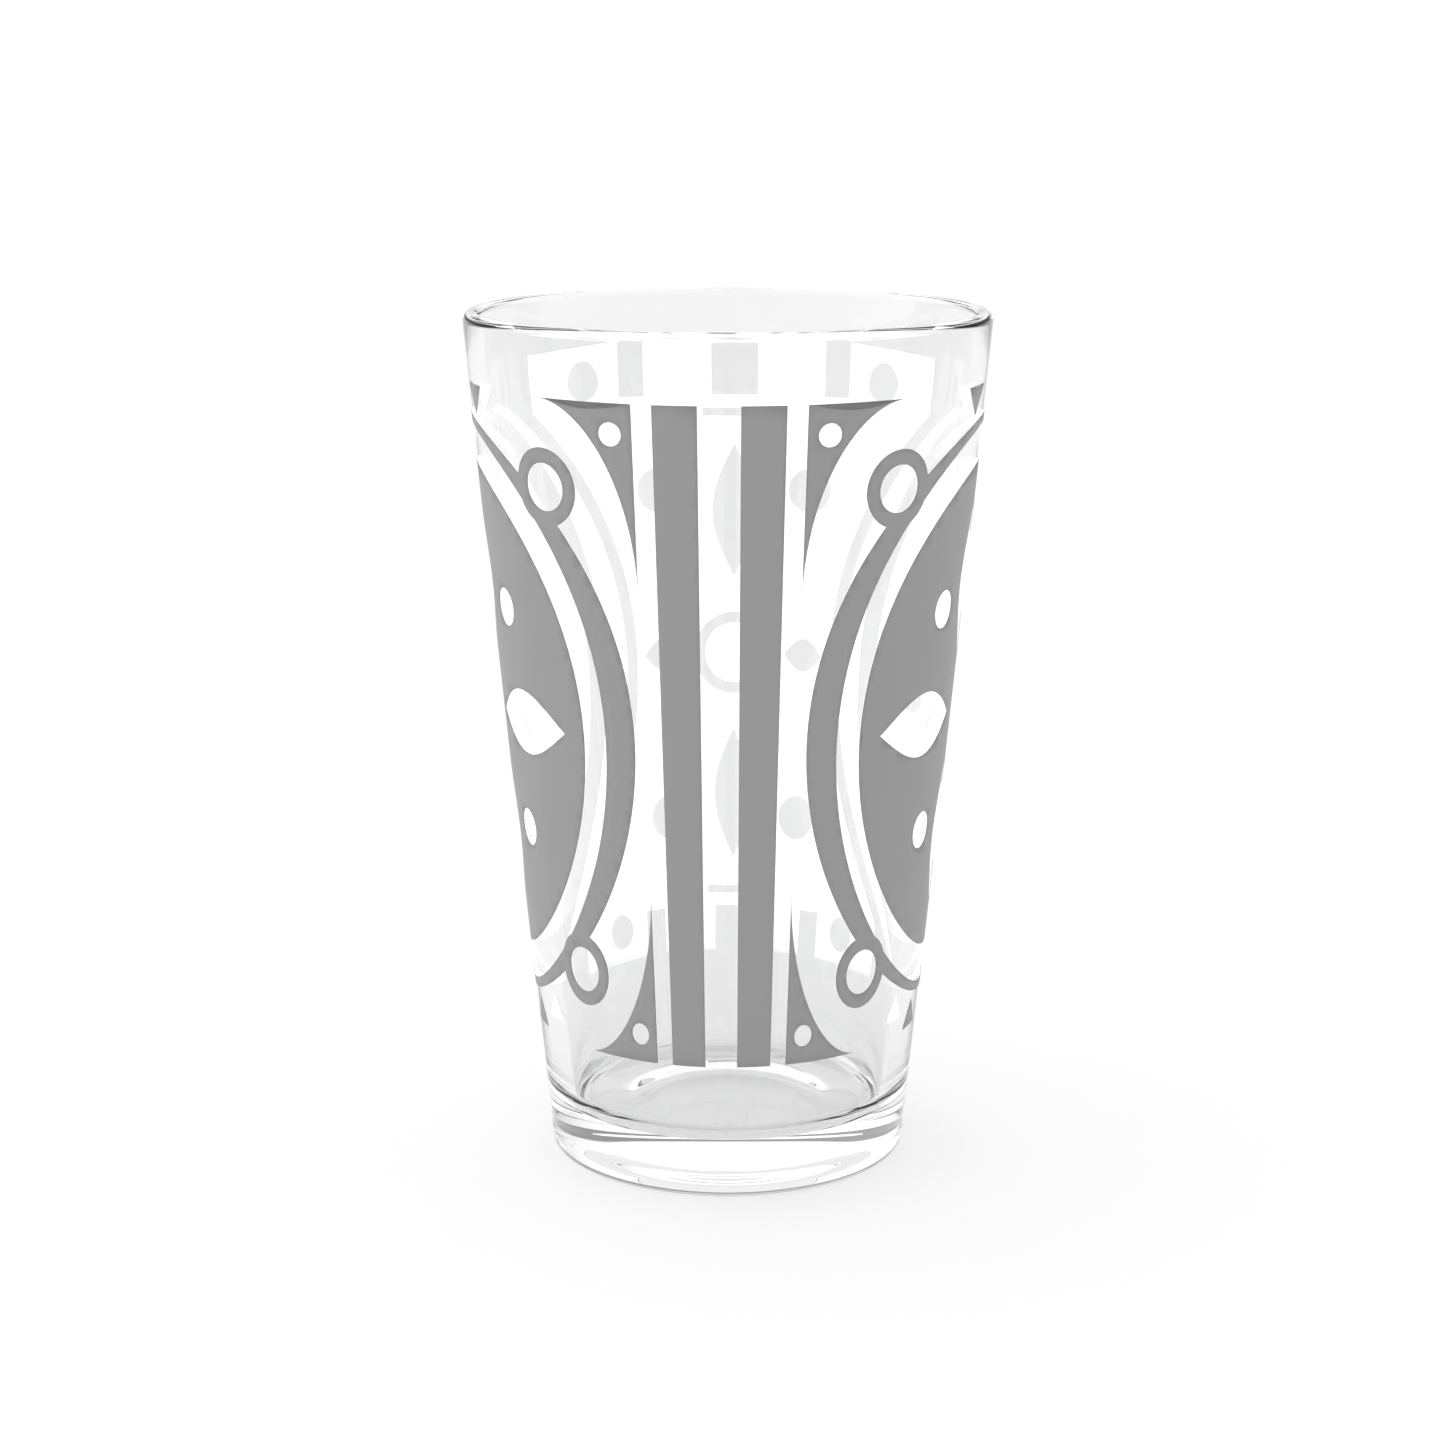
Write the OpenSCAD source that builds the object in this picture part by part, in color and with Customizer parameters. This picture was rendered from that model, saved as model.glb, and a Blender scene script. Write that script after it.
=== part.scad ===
// Pint glass: a straight tapered tumbler with a thick base and a plain printed ornament.
// The print is a white base layer straight on the glass, with a grey layer over it.

/* [Glass] */
// Height from the table to the top of the rim
glass_height = 146; // [140:0.5:152]
// Diameter of the wall's cone at the top of the rim
rim_diameter = 88.9; // [84:0.1:92]
// Diameter of the wall's cone where it would reach the table
foot_diameter = 61.8; // [58:0.1:66]
// Thickness of the wall at the rounded rim
rim_wall = 2.94; // [2.4:0.02:3.6]
// Thickness of the wall at the height of the floor, before the corner is rounded
foot_wall = 4.5; // [4:0.1:6]
// Height of the flat inside floor above the table
base_thickness = 9; // [7.5:0.1:12]
// Radius of the rounded corner between the floor and the wall, inside
floor_fillet = 4.5; // [3:0.5:9]
// Radius of the rounded heel between the wall and the table
heel_radius = 1.2; // [0.8:0.1:2.4]
// Diameter of the shallow hollow under the base
hollow_diameter = 44.8; // [40:0.4:50]
// Diameter of the flat middle of the hollow
hollow_flat_diameter = 25.2; // [20:0.4:32]
// Depth of the hollow
hollow_depth = 0.9; // [0.4:0.1:1.6]

/* [Print] */
// Clear height between the rim and the print
clear_above = 11.2; // [9:0.1:16]
// Clear height between the table and the print
clear_below = 24; // [20:0.5:28]
// Thickness of each of the two layers of ink
ink_layer = 0.08; // [0.05:0.01:0.15]
// Turn of the print's front line around the glass, in degrees
print_turn = -1.9; // [-180:0.1:180]
// Straight pieces along each quarter of a large oval in the print
curve_steps = 10; // [6:1:12]

/* [Hidden] */
glass_colour = [0.86, 0.9, 0.9, 0.4];
white_ink = [0.96, 0.96, 0.96];
grey_ink = [0.6, 0.6, 0.6];

rim_r = rim_diameter / 2;
foot_r = foot_diameter / 2;
wall_slope = (rim_r - foot_r) / glass_height;
wall_lean = atan(wall_slope);

// The rim is a bead that both sides of the wall run into
bead_r = rim_wall / 2;
bead_z = glass_height - bead_r;
bead_x = foot_r + bead_z * wall_slope - bead_r / cos(wall_lean);
// The inside leans out more than the outside, so the wall thins towards the rim
inside_slope = (bead_x - bead_r - foot_r - base_thickness * wall_slope + foot_wall)
    / (bead_z - base_thickness);
inside_lean = atan(inside_slope);
inside_foot_r = bead_x - bead_r / cos(inside_lean) - (bead_z - base_thickness) * inside_slope;
fillet_x = inside_foot_r + floor_fillet * (tan(inside_lean) - 1 / cos(inside_lean));
heel_x = foot_r + heel_radius * (wall_slope - 1 / cos(wall_lean));
// The side of the hollow is an S of two equal arcs
hollow_r = hollow_diameter / 2;
hollow_flat_r = hollow_flat_diameter / 2;
bend_angle = 2 * atan(hollow_depth / (hollow_r - hollow_flat_r));
bend_r = (hollow_r - hollow_flat_r) / 2 / sin(bend_angle);
bend_steps = 8;
corner_steps = 10;

print_low = clear_below;
print_high = glass_height - clear_above;
print_middle = (print_low + print_high) / 2;
// Outlines are drawn for a print this tall, in degrees around and millimetres from its middle
drawn_height = 110.8;
height_scale = (print_high - print_low) / drawn_height;
// Prisms reach from the axis to well beyond the wall
prism_reach = rim_diameter;
shell_strips = 80;
arc_step = 90 / curve_steps;
small_step = 18;
leaf_steps = 10;

// Sizes of the print, as [degrees, millimetres] from its middle
print_top = drawn_height / 2;
stripe_in = 4.5;
stripe_out = 14;
spandrel_in = 18.5;
spandrel_out = 42;
spandrel_foot = 24;
spandrel_dot = [2.6, 1.9];
spandrel_dot_at = [23.5, 50.5];
fleck_from = 66;
fleck_to = 77;
fleck_point = 50.5;
crescent_out = [62.5, 50];
crescent_in = [54.5, 48.5];
front_centre = 83.5;
back_centre = 95.5;
crescent_ring_at = [42, 41];
crescent_ring = [9, 6.4];
crescent_ring_hole = [5.5, 3.9];
medallion_angle = 84;
medallion_size = [48.5, 42];
medallion_leaf_from = 8;
medallion_tall_leaf = [36, 9];
medallion_wide_leaf = [42, 5.5];
medallion_dot_at = [20, 19];
medallion_dot = [4.5, 3.2];
panel_half_width = 62.5;
panel_waist = [66, 53];
panel_reach = 60;
panel_disc = [8.5, 5.5];
panel_ring = [11.5, 7.5];
panel_notch = [6, 47];
panel_side_notch = [[24, 47], [31, 56.4]];
panel_slot = [[-8.5, 43.2], [8.5, 44.6]];
panel_tall_leaf = [14, 38, 6];
panel_wide_leaf = [15, 27, 3];
panel_dot_at = [21, 30];
panel_dot = [6, 4];
panel_corner_dot_at = [42, 50];
panel_corner_dot = [5, 3.2];
past_edge = 1;
fine = 96;

function wall_r(z) = foot_r + z * wall_slope;
function arc(centre, r, from, to, steps) = [
    for (k = [0 : steps])
        let (turn = from + (to - from) * k / steps)
        centre + r * [cos(turn), sin(turn)]
];

// Outlines are lists of [degrees, millimetres]
function oval(size, centre = [0, 0], step = small_step) = [
    for (t = [0 : step : 360 - step]) centre + [size[0] * cos(t), size[1] * sin(t)]
];
function box(low, high) = [low, [high[0], low[1]], high, [low[0], high[1]]];
// A leaf along an upright line, with a point at each end
function leaf_point(low, high, half_width, k) =
    [half_width * sin(180 * k / leaf_steps), low + (high - low) * k / leaf_steps];
function leaf(low, high, half_width) = concat(
    [for (k = [0 : leaf_steps]) leaf_point(low, high, half_width, k)],
    [for (k = [leaf_steps - 1 : -1 : 1]) leaf_point(low, high, -half_width, k)]
);
function lying(points) = [for (p = points) [p[1], p[0]]];
// A corner with a quarter of an oval taken out of it
function spandrel_outline() = concat(
    [[spandrel_in, print_top]],
    [for (t = [90 : -arc_step : 0])
        [spandrel_out, spandrel_foot]
        + [(spandrel_in - spandrel_out) * cos(t), (print_top - spandrel_foot) * sin(t)]]
);
// Half an oval, which bulges towards 0 degrees and runs up, or down where "way" is -1
function half_oval(size, centre, way, reach) = [
    for (k = [-curve_steps : curve_steps])
        let (t = reach * k / curve_steps)
        [centre - size[0] * cos(t), way * size[1] * sin(t)]
];
function crescent_outline(centre) = concat(
    half_oval(crescent_out, centre, 1, 90),
    half_oval(crescent_in, centre, -1, 90)
);
function panel_side(hand) = [
    for (p = half_oval(panel_waist, back_centre, -hand, panel_reach)) [p[0] * hand, p[1]]
];
// A block whose two sides are cut in by ovals
function panel_outline() = concat(
    [[panel_half_width, print_top]], panel_side(1),
    [[panel_half_width, -print_top], [-panel_half_width, -print_top]], panel_side(-1),
    [[-panel_half_width, print_top]]
);

module glass_body() {
    color(glass_colour)
        rotate_extrude($fn = fine)
            polygon(concat(
                [[0, hollow_depth]],
                arc([hollow_flat_r, hollow_depth - bend_r], bend_r, 90, 90 - bend_angle, bend_steps),
                arc([hollow_r, bend_r], bend_r,
                    -90 - bend_angle * (bend_steps - 1) / bend_steps, -90, bend_steps - 1),
                arc([heel_x, heel_radius], heel_radius, -90, -wall_lean, corner_steps),
                arc([bead_x, bead_z], bead_r, -wall_lean, 180 - inside_lean, corner_steps * 2),
                arc([fillet_x, base_thickness + floor_fillet], floor_fillet,
                    -inside_lean, -90, corner_steps),
                [[0, base_thickness]]
            ));
}

// Layer 0 is the white ink on the glass, and layer 1 the grey ink over it. The shell is made of
// flat upright strips, each of which touches the wall along its middle.
module ink_shell(layer) {
    inner = layer * ink_layer;
    outer = inner + ink_layer;
    section = [
        [wall_r(print_low) + inner, print_low],
        [wall_r(print_low) + outer, print_low],
        [wall_r(print_high) + outer, print_high],
        [wall_r(print_high) + inner, print_high]
    ];
    strip = 360 / shell_strips;
    stretch = 1 / cos(strip / 2);
    polyhedron(
        points = [
            for (k = [0 : shell_strips - 1])
                for (p = section)
                    [p[0] * stretch * cos(k * strip), p[0] * stretch * sin(k * strip), p[1]]
        ],
        faces = [
            for (k = [0 : shell_strips - 1])
                let (here = k * 4)
                let (next = ((k + 1) % shell_strips) * 4)
                for (j = [0 : 3])
                    [here + j, here + (j + 1) % 4, next + (j + 1) % 4, next + j]
        ]
    );
}

// The flat outline that covers a run of points on the wall, seen from the direction "centre"
module shadow(points, centre, side, lift) {
    polygon([
        for (p = points)
            let (z = print_middle + p[1] * lift * height_scale)
            [wall_r(z) * sin(side * (p[0] - centre)), z]
    ]);
}

// One island of ink: the shell cut by a prism with the outline given as a child
module island(layer, centre) {
    color(layer == 0 ? white_ink : grey_ink)
        intersection() {
            ink_shell(layer);
            rotate([0, 0, print_turn + centre])
                rotate([90, 0, 0])
                    linear_extrude(height = prism_reach)
                        children();
        }
}

module stripe(layer, side) {
    middle = 9;
    island(layer, side * middle)
        shadow(box([stripe_in, -print_top], [stripe_out, print_top]), middle, side, 1);
}

module spandrel_piece(layer, side, lift) {
    middle = 28;
    island(layer, side * middle)
        difference() {
            shadow(spandrel_outline(), middle, side, lift);
            shadow(oval(spandrel_dot, spandrel_dot_at), middle, side, lift);
        }
}

module crescent(layer, side) {
    middle = 46;
    island(layer, side * middle)
        difference() {
            union() {
                shadow(crescent_outline(front_centre), middle, side, 1);
                for (lift = [-1, 1])
                    shadow(oval(crescent_ring, crescent_ring_at), middle, side, lift);
            }
            for (lift = [-1, 1])
                shadow(oval(crescent_ring_hole, crescent_ring_at), middle, side, lift);
        }
}

module medallion(layer, side) {
    tall_leaf = leaf(medallion_leaf_from, medallion_tall_leaf[0], medallion_tall_leaf[1]);
    wide_leaf = lying(leaf(medallion_leaf_from, medallion_wide_leaf[0], medallion_wide_leaf[1]));
    island(layer, side * medallion_angle)
        difference() {
            shadow(oval(medallion_size, step = arc_step), 0, side, 1);
            for (lift = [-1, 1]) {
                shadow(tall_leaf, 0, side, lift);
                shadow(wide_leaf, 0, lift, 1);
                for (hand = [-1, 1])
                    shadow(oval(medallion_dot, medallion_dot_at), 0, hand, lift);
            }
        }
}

module fleck(layer, side, lift) {
    middle = (fleck_from + fleck_to) / 2;
    island(layer, side * middle)
        shadow([[fleck_from, print_top], [middle, fleck_point], [fleck_to, print_top]],
            middle, side, lift);
}

module back_crescent(layer, side) {
    middle = 60;
    island(layer, 180 - side * middle)
        shadow(crescent_outline(back_centre), middle, -side, 1);
}

module back_panel(layer) {
    notch = box([-panel_notch[0], panel_notch[1]], [panel_notch[0], print_top + past_edge]);
    island(layer, 180)
        difference() {
            shadow(panel_outline(), 0, 1, 1);
            difference() {
                shadow(oval(panel_ring), 0, 1, 1);
                shadow(oval(panel_disc), 0, 1, 1);
            }
            for (lift = [-1, 1]) {
                shadow(notch, 0, 1, lift);
                shadow(box(panel_slot[0], panel_slot[1]), 0, 1, lift);
                shadow(leaf(panel_tall_leaf[0], panel_tall_leaf[1], panel_tall_leaf[2]), 0, 1, lift);
                shadow(lying(leaf(panel_wide_leaf[0], panel_wide_leaf[1], panel_wide_leaf[2])), 0, lift, 1);
                for (hand = [-1, 1]) {
                    shadow(box(panel_side_notch[0], panel_side_notch[1]), 0, hand, lift);
                    shadow(oval(panel_dot, panel_dot_at), 0, hand, lift);
                    shadow(oval(panel_corner_dot, panel_corner_dot_at), 0, hand, lift);
                }
            }
        }
}

glass_body();
stripe(0, -1);  // stripe_left_white
stripe(1, -1);  // stripe_left_grey
stripe(0, 1);  // stripe_right_white
stripe(1, 1);  // stripe_right_grey
spandrel_piece(0, -1, 1);  // spandrel_upper_left_white
spandrel_piece(1, -1, 1);  // spandrel_upper_left_grey
spandrel_piece(0, 1, 1);  // spandrel_upper_right_white
spandrel_piece(1, 1, 1);  // spandrel_upper_right_grey
spandrel_piece(0, -1, -1);  // spandrel_lower_left_white
spandrel_piece(1, -1, -1);  // spandrel_lower_left_grey
spandrel_piece(0, 1, -1);  // spandrel_lower_right_white
spandrel_piece(1, 1, -1);  // spandrel_lower_right_grey
crescent(0, -1);  // crescent_left_white
crescent(1, -1);  // crescent_left_grey
crescent(0, 1);  // crescent_right_white
crescent(1, 1);  // crescent_right_grey
medallion(0, -1);  // medallion_left_white
medallion(1, -1);  // medallion_left_grey
medallion(0, 1);  // medallion_right_white
medallion(1, 1);  // medallion_right_grey
fleck(0, -1, 1);  // fleck_upper_left_white
fleck(1, -1, 1);  // fleck_upper_left_grey
fleck(0, 1, 1);  // fleck_upper_right_white
fleck(1, 1, 1);  // fleck_upper_right_grey
fleck(0, -1, -1);  // fleck_lower_left_white
fleck(1, -1, -1);  // fleck_lower_left_grey
fleck(0, 1, -1);  // fleck_lower_right_white
fleck(1, 1, -1);  // fleck_lower_right_grey
back_crescent(0, -1);  // back_crescent_left_white
back_crescent(1, -1);  // back_crescent_left_grey
back_crescent(0, 1);  // back_crescent_right_white
back_crescent(1, 1);  // back_crescent_right_grey
back_panel(0);  // back_panel_white
back_panel(1);  // back_panel_grey
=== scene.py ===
import math

import bpy
import numpy as np
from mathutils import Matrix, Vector
from mathutils.geometry import delaunay_2d_cdt


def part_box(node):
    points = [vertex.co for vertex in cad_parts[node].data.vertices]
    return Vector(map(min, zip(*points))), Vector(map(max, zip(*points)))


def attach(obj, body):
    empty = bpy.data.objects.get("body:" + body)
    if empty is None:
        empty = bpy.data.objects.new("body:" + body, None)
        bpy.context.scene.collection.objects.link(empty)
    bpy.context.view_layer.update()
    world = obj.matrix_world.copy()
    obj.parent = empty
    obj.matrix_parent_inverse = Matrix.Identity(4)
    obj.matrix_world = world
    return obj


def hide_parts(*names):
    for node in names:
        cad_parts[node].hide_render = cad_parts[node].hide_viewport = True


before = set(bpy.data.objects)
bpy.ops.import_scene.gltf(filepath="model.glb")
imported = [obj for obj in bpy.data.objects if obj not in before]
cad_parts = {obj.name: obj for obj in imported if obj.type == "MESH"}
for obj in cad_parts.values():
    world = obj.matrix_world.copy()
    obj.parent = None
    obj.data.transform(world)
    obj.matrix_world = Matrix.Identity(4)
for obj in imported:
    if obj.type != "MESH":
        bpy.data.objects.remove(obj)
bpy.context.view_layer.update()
MM = 0.001

# ---------------------------------------------------------------- sizes
# The glass's own box gives its height, and the print's box gives the band that the print covers.
glass_low, glass_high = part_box("glass_body")
print_low, print_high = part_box("stripe_left_white")
HEIGHT = (glass_high[2] - glass_low[2]) / MM
PRINT_LOW = print_low[2] / MM
PRINT_HIGH = print_high[2] / MM
PRINT_MIDDLE = (PRINT_LOW + PRINT_HIGH) / 2
DRAWN_HEIGHT = 110.8
HEIGHT_SCALE = (PRINT_HIGH - PRINT_LOW) / DRAWN_HEIGHT
PRINT_TURN = -1.9

# Sizes in millimetres, the same as in the part's source
FOOT_R = 30.9
RIM_R = 44.45
BEAD_R = 1.47
BASE = 9.0
FOOT_WALL = 4.5
FILLET = 4.5
HEEL = 1.2
HOLLOW_R = 22.4
HOLLOW_FLAT_R = 12.6
HOLLOW_DEPTH = 0.9
SLOPE = (RIM_R - FOOT_R) / HEIGHT
LEAN = math.atan(SLOPE)
INSET = 0.012
LAYER = 0.08
RING_GAP = 6
HOLLOW_STEPS = 12
HEEL_STEPS = 20
BEAD_STEPS = 40
FILLET_STEPS = 28
TURN_STEPS = 288


# ---------------------------------------------------------------- glass
def arc(cx, cz, r, start, end, steps):
    turns = [math.radians(start + (end - start) * k / steps) for k in range(steps + 1)]
    return [(cx + r * math.cos(t), cz + r * math.sin(t)) for t in turns]


def glass_profile():
    bead_z = HEIGHT - BEAD_R
    bead_x = FOOT_R + bead_z * SLOPE - BEAD_R / math.cos(LEAN)
    inside = (bead_x - BEAD_R - FOOT_R - BASE * SLOPE + FOOT_WALL) / (bead_z - BASE)
    lean_in = math.atan(inside)
    foot_in = bead_x - BEAD_R / math.cos(lean_in) - (bead_z - BASE) * inside
    fillet_x = foot_in + FILLET * (math.tan(lean_in) - 1 / math.cos(lean_in))
    heel_x = FOOT_R + HEEL * (SLOPE - 1 / math.cos(LEAN))
    bend = 2 * math.atan(HOLLOW_DEPTH / (HOLLOW_R - HOLLOW_FLAT_R))
    bend_r = (HOLLOW_R - HOLLOW_FLAT_R) / 2 / math.sin(bend)
    bend = math.degrees(bend)
    out = math.degrees(LEAN)
    inn = math.degrees(lean_in)
    points = [(0, HOLLOW_DEPTH), (HOLLOW_FLAT_R / 2, HOLLOW_DEPTH)]
    points += arc(HOLLOW_FLAT_R, HOLLOW_DEPTH - bend_r, bend_r, 90, 90 - bend, HOLLOW_STEPS)
    rest = HOLLOW_STEPS - 1
    points += arc(HOLLOW_R, bend_r, bend_r, -90 - bend * rest / HOLLOW_STEPS, -90, rest)
    points += arc(heel_x, HEEL, HEEL, -90, -out, HEEL_STEPS)
    points += arc(bead_x, bead_z, BEAD_R, -out, 180 - inn, BEAD_STEPS)
    points += arc(fillet_x, BASE + FILLET, FILLET, -inn, -90, FILLET_STEPS)
    points += [(fillet_x * 0.66, BASE), (fillet_x * 0.33, BASE), (0, BASE)]
    # Extra rings along the straight walls keep the faces well shaped
    full = []
    for (x0, z0), (x1, z1) in zip(points, points[1:]):
        n = max(1, int(abs(z1 - z0) / RING_GAP))
        full += [(x0 + (x1 - x0) * k / n, z0 + (z1 - z0) * k / n) for k in range(n)]
    full.append(points[-1])
    return full


def lathe(name, profile, segments):
    """A closed body of revolution. The profile starts and ends on the axis."""
    ring = profile[1:-1]
    verts = [(0, 0, profile[0][1] * MM)]
    for x, z in ring:
        for k in range(segments):
            t = 2 * math.pi * k / segments
            verts.append((x * MM * math.sin(t), -x * MM * math.cos(t), z * MM))
    verts.append((0, 0, profile[-1][1] * MM))
    last = len(verts) - 1
    faces = []
    for k in range(segments):
        n = (k + 1) % segments
        faces.append((0, 1 + n, 1 + k))
        for j in range(len(ring) - 1):
            a = 1 + j * segments
            b = a + segments
            faces.append((a + k, a + n, b + n, b + k))
        top = 1 + (len(ring) - 1) * segments
        faces.append((last, top + k, top + n))
    mesh = bpy.data.meshes.new(name)
    mesh.from_pydata(verts, [], faces)
    mesh.shade_smooth()
    obj = bpy.data.objects.new(name, mesh)
    bpy.context.collection.objects.link(obj)
    return obj


# ---------------------------------------------------------------- print outlines
# Sizes are (degrees around, millimetres from the print's middle)
PRINT_TOP = DRAWN_HEIGHT / 2
STRIPE_IN = 4.5
STRIPE_OUT = 14
SPANDREL_IN = 18.5
SPANDREL_OUT = 42
SPANDREL_FOOT = 24
SPANDREL_DOT = (2.6, 1.9)
SPANDREL_DOT_AT = (23.5, 50.5)
FLECK_FROM = 66
FLECK_TO = 77
FLECK_POINT = 50.5
CRESCENT_OUT = (62.5, 50)
CRESCENT_IN = (54.5, 48.5)
FRONT_CENTRE = 83.5
BACK_CENTRE = 95.5
CRESCENT_RING_AT = (42, 41)
CRESCENT_RING = (9, 6.4)
CRESCENT_RING_HOLE = (5.5, 3.9)
MEDALLION_ANGLE = 84
MEDALLION_SIZE = (48.5, 42)
MEDALLION_TALL_LEAF = (8, 36, 9)
MEDALLION_WIDE_LEAF = (8, 42, 5.5)
MEDALLION_DOT_AT = (20, 19)
MEDALLION_DOT = (4.5, 3.2)
PANEL_HALF_WIDTH = 62.5
PANEL_WAIST = (66, 53)
PANEL_REACH = 60
PANEL_DISC = (8.5, 5.5)
PANEL_RING = (11.5, 7.5)
PANEL_NOTCH = ((-6, 47), (6, 56.4))
PANEL_SIDE_NOTCH = ((24, 47), (31, 56.4))
PANEL_SLOT = ((-8.5, 43.2), (8.5, 44.6))
PANEL_TALL_LEAF = (14, 38, 6)
PANEL_WIDE_LEAF = (15, 27, 3)
PANEL_DOT_AT = (21, 30)
PANEL_DOT = (6, 4)
PANEL_CORNER_DOT_AT = (42, 50)
PANEL_CORNER_DOT = (5, 3.2)
ARC_STEPS = 40
LEAF_STEPS = 24
OVAL_STEPS = 72
HANDS = (-1, 1)


def oval(size, centre=(0, 0)):
    turns = [2 * math.pi * k / OVAL_STEPS for k in range(OVAL_STEPS)]
    return [(centre[0] + size[0] * math.cos(t), centre[1] + size[1] * math.sin(t)) for t in turns]


def box(low, high):
    return [low, (high[0], low[1]), high, (low[0], high[1])]


def leaf(low, high, half_width):
    """A leaf along an upright line, with a point at each end."""
    right = []
    for k in range(LEAF_STEPS + 1):
        part = k / LEAF_STEPS
        right.append((half_width * math.sin(math.pi * part), low + (high - low) * part))
    return right + [(-x, y) for x, y in right[-2:0:-1]]


def lying(points):
    return [(y, x) for x, y in points]


def half_oval(size, centre, way, reach=90):
    """Half an oval, which bulges towards 0 degrees and runs up, or down where way is -1."""
    turns = [math.radians(reach * k / ARC_STEPS) for k in range(-ARC_STEPS, ARC_STEPS + 1)]
    return [(centre - size[0] * math.cos(t), way * size[1] * math.sin(t)) for t in turns]


def crescent_outline(centre):
    return half_oval(CRESCENT_OUT, centre, 1) + half_oval(CRESCENT_IN, centre, -1)


def spandrel_outline():
    """A corner with a quarter of an oval taken out of it."""
    out = [(SPANDREL_IN, PRINT_TOP)]
    for k in range(ARC_STEPS, -1, -1):
        t = math.radians(90 * k / ARC_STEPS)
        x = SPANDREL_OUT + (SPANDREL_IN - SPANDREL_OUT) * math.cos(t)
        out.append((x, SPANDREL_FOOT + (PRINT_TOP - SPANDREL_FOOT) * math.sin(t)))
    return out


def panel_outline():
    """A block whose two sides are cut in by ovals."""
    right = [(PANEL_HALF_WIDTH, PRINT_TOP)]
    right += half_oval(PANEL_WAIST, BACK_CENTRE, -1, PANEL_REACH)
    right += [(PANEL_HALF_WIDTH, -PRINT_TOP)]
    return right + both(right, -1, 1)[::-1]


def both(points, turn, lift):
    """The points, turned over sideways or upside down where turn or lift is -1."""
    return [(p[0] * turn, p[1] * lift) for p in points]


def four_ways(points):
    return [both(points, turn, lift) for turn in HANDS for lift in HANDS]


def inside(loop, x, y):
    """Which of the points x, y lie inside the closed loop."""
    hit = np.zeros(len(x), bool)
    p = np.array(loop)
    q = np.roll(p, -1, axis=0)
    for (x0, y0), (x1, y1) in zip(p, q):
        if y0 == y1:
            continue
        cross = (y0 > y) != (y1 > y)
        hit ^= cross & (x < (x1 - x0) * (y - y0) / (y1 - y0) + x0)
    return hit


# ---------------------------------------------------------------- ink islands
# Millimetres that a degree spans on the wall, at about its middle height
DEGREE_WIDTH = 0.7
GRID_ACROSS = 1.6
GRID_UP = 3.0
WELD = 1e-5


def island_triangles(solid, holes):
    """Points and triangles that cover the solid loops without the holes.

    A light grid of extra points lets the flat shape bend round the wall.
    """
    loops = solid + holes
    points = []
    edges = []
    for loop in loops:
        first = len(points)
        points += loop
        n = len(loop)
        edges += [(first + k, first + (k + 1) % n) for k in range(n)]
    lo = np.min(points, axis=0)
    hi = np.max(points, axis=0)
    across = np.arange(lo[0], hi[0], GRID_ACROSS)
    up = np.arange(lo[1], hi[1], GRID_UP)
    gx, gy = np.meshgrid(across, up)
    gx[1::2] += GRID_ACROSS / 2
    points += list(zip(gx.ravel(), gy.ravel()))
    # The shapes are triangulated at about their true proportions
    flat = [Vector((p[0] * DEGREE_WIDTH, p[1])) for p in points]
    verts, _, faces, _, _, _ = delaunay_2d_cdt(flat, edges, [], 0, WELD)
    v = np.array([(p[0] / DEGREE_WIDTH, p[1]) for p in verts])
    f = np.array([t for t in faces if len(t) == 3])
    centre = v[f].mean(axis=1)
    keep = np.zeros(len(f), bool)
    for loop in solid:
        keep |= inside(loop, centre[:, 0], centre[:, 1])
    for loop in holes:
        keep &= ~inside(loop, centre[:, 0], centre[:, 1])
    f = f[keep]
    used = np.unique(f)
    order = np.full(len(v), -1)
    order[used] = np.arange(len(used))
    return v[used], order[f]


def ink_mesh(name, shape, centre, side, low, high):
    """A thin closed solid on the wall, from low to high above the glass, in millimetres."""
    v, f = shape
    a = np.radians(PRINT_TURN + centre + side * v[:, 0])
    z = PRINT_MIDDLE + v[:, 1] * HEIGHT_SCALE
    p0, p1, p2 = v[f[:, 0]], v[f[:, 1]], v[f[:, 2]]
    area = (p1[:, 0] - p0[:, 0]) * (p2[:, 1] - p0[:, 1]) - (p1[:, 1] - p0[:, 1]) * (p2[:, 0] - p0[:, 0])
    f = np.where((area * side > 0)[:, None], f, f[:, ::-1])
    n = len(v)
    layers = []
    for lift in (high, low):
        r = (FOOT_R + z * SLOPE + lift) * MM
        layers.append(np.stack((r * np.sin(a), -r * np.cos(a), z * MM), axis=1))
    verts = np.concatenate(layers)
    once = {}
    for t in f.tolist():
        for i, j in ((t[0], t[1]), (t[1], t[2]), (t[2], t[0])):
            if (j, i) in once:
                del once[(j, i)]
            else:
                once[(i, j)] = True
    walls = [(j, i, i + n, j + n) for i, j in once]
    faces = f.tolist() + (f[:, ::-1] + n).tolist() + walls
    mesh = bpy.data.meshes.new(name)
    mesh.from_pydata(verts.tolist(), [], faces)
    for poly in mesh.polygons:
        poly.use_smooth = len(poly.vertices) == 3
    mesh.update()
    obj = bpy.data.objects.new(name, mesh)
    bpy.context.collection.objects.link(obj)
    return obj


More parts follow.
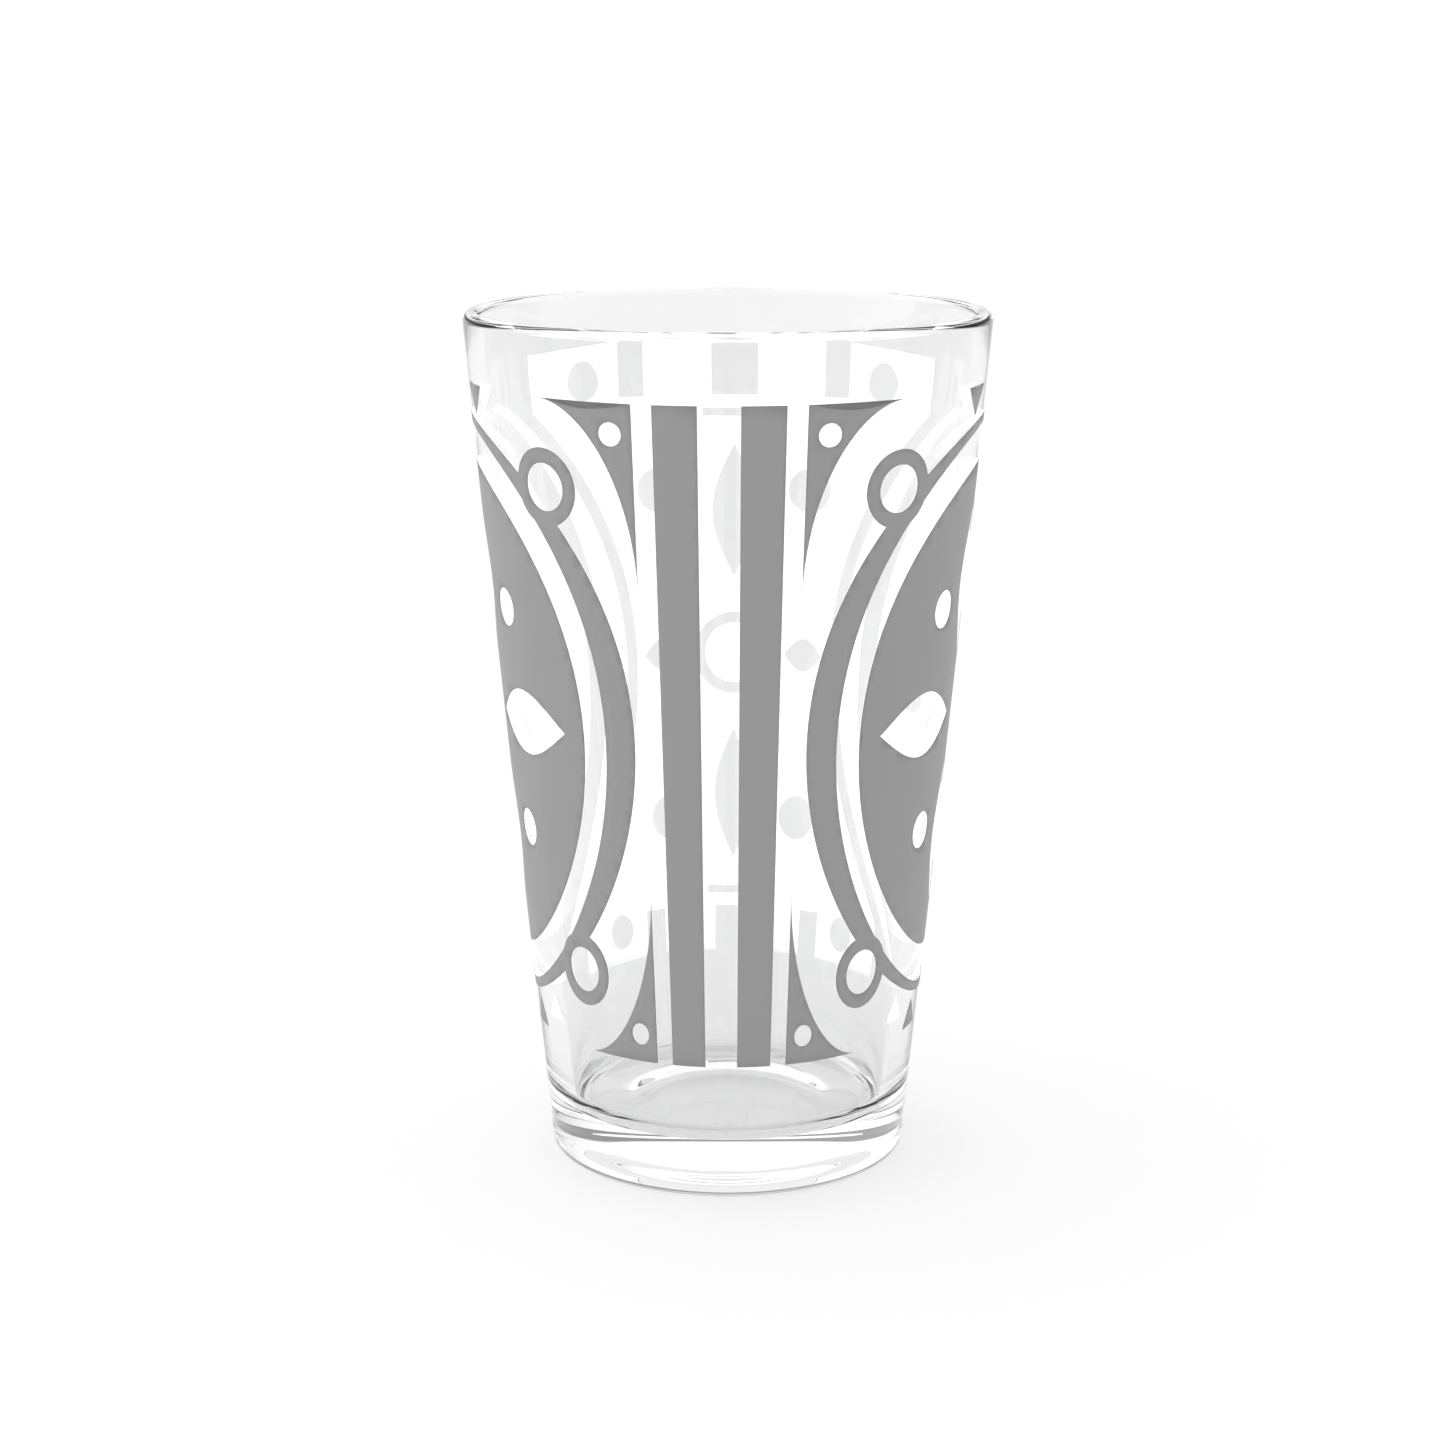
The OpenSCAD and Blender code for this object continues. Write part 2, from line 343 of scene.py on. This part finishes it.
def shapes():
    """Each island's name, shape, middle direction and side."""
    stripe = island_triangles([box((STRIPE_IN, -PRINT_TOP), (STRIPE_OUT, PRINT_TOP))], [])
    crescent = island_triangles(
        [crescent_outline(FRONT_CENTRE)]
        + [both(oval(CRESCENT_RING, CRESCENT_RING_AT), 1, lift) for lift in HANDS],
        [both(oval(CRESCENT_RING_HOLE, CRESCENT_RING_AT), 1, lift) for lift in HANDS],
    )
    medallion_holes = [both(leaf(*MEDALLION_TALL_LEAF), 1, lift) for lift in HANDS]
    medallion_holes += [both(lying(leaf(*MEDALLION_WIDE_LEAF)), turn, 1) for turn in HANDS]
    medallion_holes += four_ways(oval(MEDALLION_DOT, MEDALLION_DOT_AT))
    medallion = island_triangles([oval(MEDALLION_SIZE)], medallion_holes)
    back_crescent = island_triangles([crescent_outline(BACK_CENTRE)], [])
    out = []
    for side, hand in ((-1, "left"), (1, "right")):
        out.append(("stripe_" + hand, stripe, 0, side))
        out.append(("crescent_" + hand, crescent, 0, side))
        out.append(("medallion_" + hand, medallion, side * MEDALLION_ANGLE, side))
        out.append(("back_crescent_" + hand, back_crescent, 180, -side))
        for lift, level in ((1, "upper"), (-1, "lower")):
            spandrel = island_triangles(
                [both(spandrel_outline(), 1, lift)],
                [both(oval(SPANDREL_DOT, SPANDREL_DOT_AT), 1, lift)],
            )
            point = ((FLECK_FROM + FLECK_TO) / 2, FLECK_POINT)
            triangle = [(FLECK_FROM, PRINT_TOP), point, (FLECK_TO, PRINT_TOP)]
            fleck = island_triangles([both(triangle, 1, lift)], [])
            out.append(("spandrel_%s_%s" % (level, hand), spandrel, 0, side))
            out.append(("fleck_%s_%s" % (level, hand), fleck, 0, side))
    panel_holes = [oval(PANEL_RING)]
    for upright in (box(*PANEL_NOTCH), box(*PANEL_SLOT), leaf(*PANEL_TALL_LEAF)):
        panel_holes += [both(upright, 1, lift) for lift in HANDS]
    panel_holes += [both(lying(leaf(*PANEL_WIDE_LEAF)), turn, 1) for turn in HANDS]
    panel_holes += four_ways(box(*PANEL_SIDE_NOTCH))
    panel_holes += four_ways(oval(PANEL_DOT, PANEL_DOT_AT))
    panel_holes += four_ways(oval(PANEL_CORNER_DOT, PANEL_CORNER_DOT_AT))
    panel_shape = island_triangles([panel_outline()], panel_holes)
    disc_shape = island_triangles([oval(PANEL_DISC)], [])
    v = np.concatenate((panel_shape[0], disc_shape[0]))
    f = np.concatenate((panel_shape[1], disc_shape[1] + len(panel_shape[0])))
    out.append(("back_panel", (v, f), 180, 1))
    return out


# ---------------------------------------------------------------- materials
def new_material(name):
    mat = bpy.data.materials.new(name)
    mat.use_nodes = True
    return mat, mat.node_tree.nodes, mat.node_tree.links, mat.node_tree.nodes["Principled BSDF"]


def glass_material():
    """Clear moulded glass with a slight grey tint and a faint waviness."""
    mat, nodes, links, bsdf = new_material("clear_glass")
    bsdf.inputs["Base Color"].default_value = (0.885, 0.89, 0.887, 1)
    bsdf.inputs["Roughness"].default_value = 0.0
    bsdf.inputs["IOR"].default_value = 1.5
    bsdf.inputs["Transmission Weight"].default_value = 1.0
    place = nodes.new("ShaderNodeTexCoord")
    waves = nodes.new("ShaderNodeTexNoise")
    waves.inputs["Scale"].default_value = 45
    waves.inputs["Detail"].default_value = 1
    bump = nodes.new("ShaderNodeBump")
    bump.inputs["Strength"].default_value = 0.1
    bump.inputs["Distance"].default_value = 0.0001
    links.new(place.outputs["Object"], waves.inputs["Vector"])
    links.new(waves.outputs["Fac"], bump.inputs["Height"])
    links.new(bump.outputs["Normal"], bsdf.inputs["Normal"])
    return mat


def ink_material(name, tone, grain, glow=0.0):
    """Flat screen-printed ink with a fine grain in its tone, gloss and surface.

    The glow is painted light: it keeps the white ink bright where the light reaches it only through the
    glass.
    """
    mat, nodes, links, bsdf = new_material(name)
    place = nodes.new("ShaderNodeTexCoord")
    fine = nodes.new("ShaderNodeTexNoise")
    fine.inputs["Scale"].default_value = 2600
    fine.inputs["Detail"].default_value = 3
    broad = nodes.new("ShaderNodeTexNoise")
    broad.inputs["Scale"].default_value = 90
    broad.inputs["Detail"].default_value = 2
    tones = nodes.new("ShaderNodeMapRange")
    tones.inputs["To Min"].default_value = 1 - grain
    tones.inputs["To Max"].default_value = 1 + grain
    mixed = nodes.new("ShaderNodeMix")
    mixed.data_type = "RGBA"
    mixed.blend_type = "MULTIPLY"
    mixed.inputs[0].default_value = 1
    mixed.inputs[6].default_value = (*tone, 1)
    gloss = nodes.new("ShaderNodeMapRange")
    gloss.inputs["To Min"].default_value = 0.42
    gloss.inputs["To Max"].default_value = 0.56
    bump = nodes.new("ShaderNodeBump")
    bump.inputs["Strength"].default_value = 0.05
    bump.inputs["Distance"].default_value = 0.00002
    links.new(place.outputs["Object"], fine.inputs["Vector"])
    links.new(place.outputs["Object"], broad.inputs["Vector"])
    links.new(fine.outputs["Fac"], tones.inputs["Value"])
    links.new(tones.outputs["Result"], mixed.inputs[7])
    links.new(mixed.outputs[2], bsdf.inputs["Base Color"])
    links.new(broad.outputs["Fac"], gloss.inputs["Value"])
    links.new(gloss.outputs["Result"], bsdf.inputs["Roughness"])
    links.new(fine.outputs["Fac"], bump.inputs["Height"])
    links.new(bump.outputs["Normal"], bsdf.inputs["Normal"])
    bsdf.inputs["Specular IOR Level"].default_value = 0.25
    bsdf.inputs["Emission Color"].default_value = (1, 1, 1, 1)
    bsdf.inputs["Emission Strength"].default_value = glow
    return mat


clear = glass_material()
# The white ink's glow is painted light, not a lamp: it brightens the ink where light reaches it only
# through the glass
white_ink = ink_material("white_ink", (0.9, 0.9, 0.9), grain=0.01, glow=0.8)
grey_ink = ink_material("grey_ink", (0.312, 0.312, 0.312), grain=0.012)

# ---------------------------------------------------------------- the object
glass = lathe("clear_tumbler", glass_profile(), TURN_STEPS)
glass.data.materials.append(clear)
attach(glass, "root")
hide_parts("glass_body")

# The white layer starts a hair inside the glass, so that no air shows between them
for name, shape, centre, side in shapes():
    white = ink_mesh(name + "_base_print", shape, centre, side, -INSET, LAYER)
    white.data.materials.append(white_ink)
    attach(white, "root")
    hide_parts(name + "_white")
    grey = ink_mesh(name + "_top_print", shape, centre, side, LAYER, 2 * LAYER)
    grey.data.materials.append(grey_ink)
    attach(grey, "root")
    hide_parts(name + "_grey")

# ---------------------------------------------------------------- stage
scene = bpy.context.scene
scene.view_settings.view_transform = "Standard"
# Reflections inside the rim take more turns than usual before the light comes out
scene.cycles.glossy_bounces = 6
FLOOR_TONE = 0.42
FLOOR_GLOW = 0.57
ROOM_LIGHT = 1.35
ROOM_LEAN = 0.2
GAP_TOP = (0.31, 0.355)
GAP_LIGHT = 0.35
REAR_FROM = (0.1, 0.3)
FRONT_TO_BACK = (-1, 0.3)
FRONT_LIGHT = 0.55
# Metres
FLOOR_SIZE = 60
FLOOR_DROP = 0.00002
CARD_AT = (0, 29.5, 0.42)
CARD_HEIGHT = 0.84
CARD_TONE = 0.9


def stage_surface(obj, name, tone, glow):
    """A plain matt studio surface with a glow of its own."""
    mat, _, _, bsdf = new_material(name)
    bsdf.inputs["Base Color"].default_value = (tone, tone, tone, 1)
    bsdf.inputs["Roughness"].default_value = 1.0
    bsdf.inputs["Specular IOR Level"].default_value = 0.0
    bsdf.inputs["Emission Color"].default_value = (1, 1, 1, 1)
    bsdf.inputs["Emission Strength"].default_value = glow
    obj.data.materials.append(mat)


bpy.ops.mesh.primitive_plane_add(size=FLOOR_SIZE, location=(0, 0, -FLOOR_DROP))
floor = bpy.context.object
floor.name = "studio_floor"
stage_surface(floor, "studio_paper", FLOOR_TONE, FLOOR_GLOW)

# A low white card far behind hides the floor's edge
bpy.ops.mesh.primitive_plane_add(size=1, location=CARD_AT)
card = bpy.context.object
card.name = "far_card"
card.rotation_euler = (math.radians(90), 0, 0)
card.scale = (FLOOR_SIZE, CARD_HEIGHT, 1)
stage_surface(card, "card_paper", CARD_TONE, FLOOR_GLOW)

# The room is one soft light: brighter on the left, dimmer in front, and dim low down behind the
# glass, which draws the line in its foot
world = bpy.data.worlds.new("studio_room")
scene.world = world
world.use_nodes = True
room = world.node_tree
back = room.nodes["Background"]
toward = room.nodes.new("ShaderNodeTexCoord")
axes = room.nodes.new("ShaderNodeSeparateXYZ")
room.links.new(toward.outputs["Generated"], axes.inputs[0])


def ramp(source, low, high, first, last):
    node = room.nodes.new("ShaderNodeMapRange")
    node.interpolation_type = "SMOOTHSTEP"
    node.inputs["From Min"].default_value = low
    node.inputs["From Max"].default_value = high
    node.inputs["To Min"].default_value = first
    node.inputs["To Max"].default_value = last
    room.links.new(source, node.inputs["Value"])
    return node.outputs["Result"]


def product(a, b):
    node = room.nodes.new("ShaderNodeMath")
    node.operation = "MULTIPLY"
    room.links.new(a, node.inputs[0])
    room.links.new(b, node.inputs[1])
    return node.outputs[0]


low_down = ramp(axes.outputs["Z"], GAP_TOP[0], GAP_TOP[1], 1, 0)
behind = ramp(axes.outputs["Y"], REAR_FROM[0], REAR_FROM[1], 0, 1)
gap = product(low_down, behind)
front = ramp(axes.outputs["Y"], FRONT_TO_BACK[0], FRONT_TO_BACK[1], FRONT_LIGHT, 1)
lit = product(ramp(gap, 0, 1, ROOM_LIGHT, GAP_LIGHT), front)
side = ramp(axes.outputs["X"], -1, 1, 1 + ROOM_LEAN, 1 - ROOM_LEAN)
back.inputs["Color"].default_value = (1, 1, 1, 1)
room.links.new(product(lit, side), back.inputs["Strength"])

# ---------------------------------------------------------------- camera
SENSOR = 36
LENS = 72.67
CAMERA_AT = (-0.0009, -0.4906, 0.1888)
LOOK_DOWN = 13.07
cam_data = bpy.data.cameras.new("camera")
cam_data.sensor_width = SENSOR
cam_data.lens = LENS
cam = bpy.data.objects.new("camera", cam_data)
bpy.context.collection.objects.link(cam)
cam.location = CAMERA_AT
cam.rotation_euler = (math.radians(90 - LOOK_DOWN), 0, 0)
bpy.context.scene.camera = cam
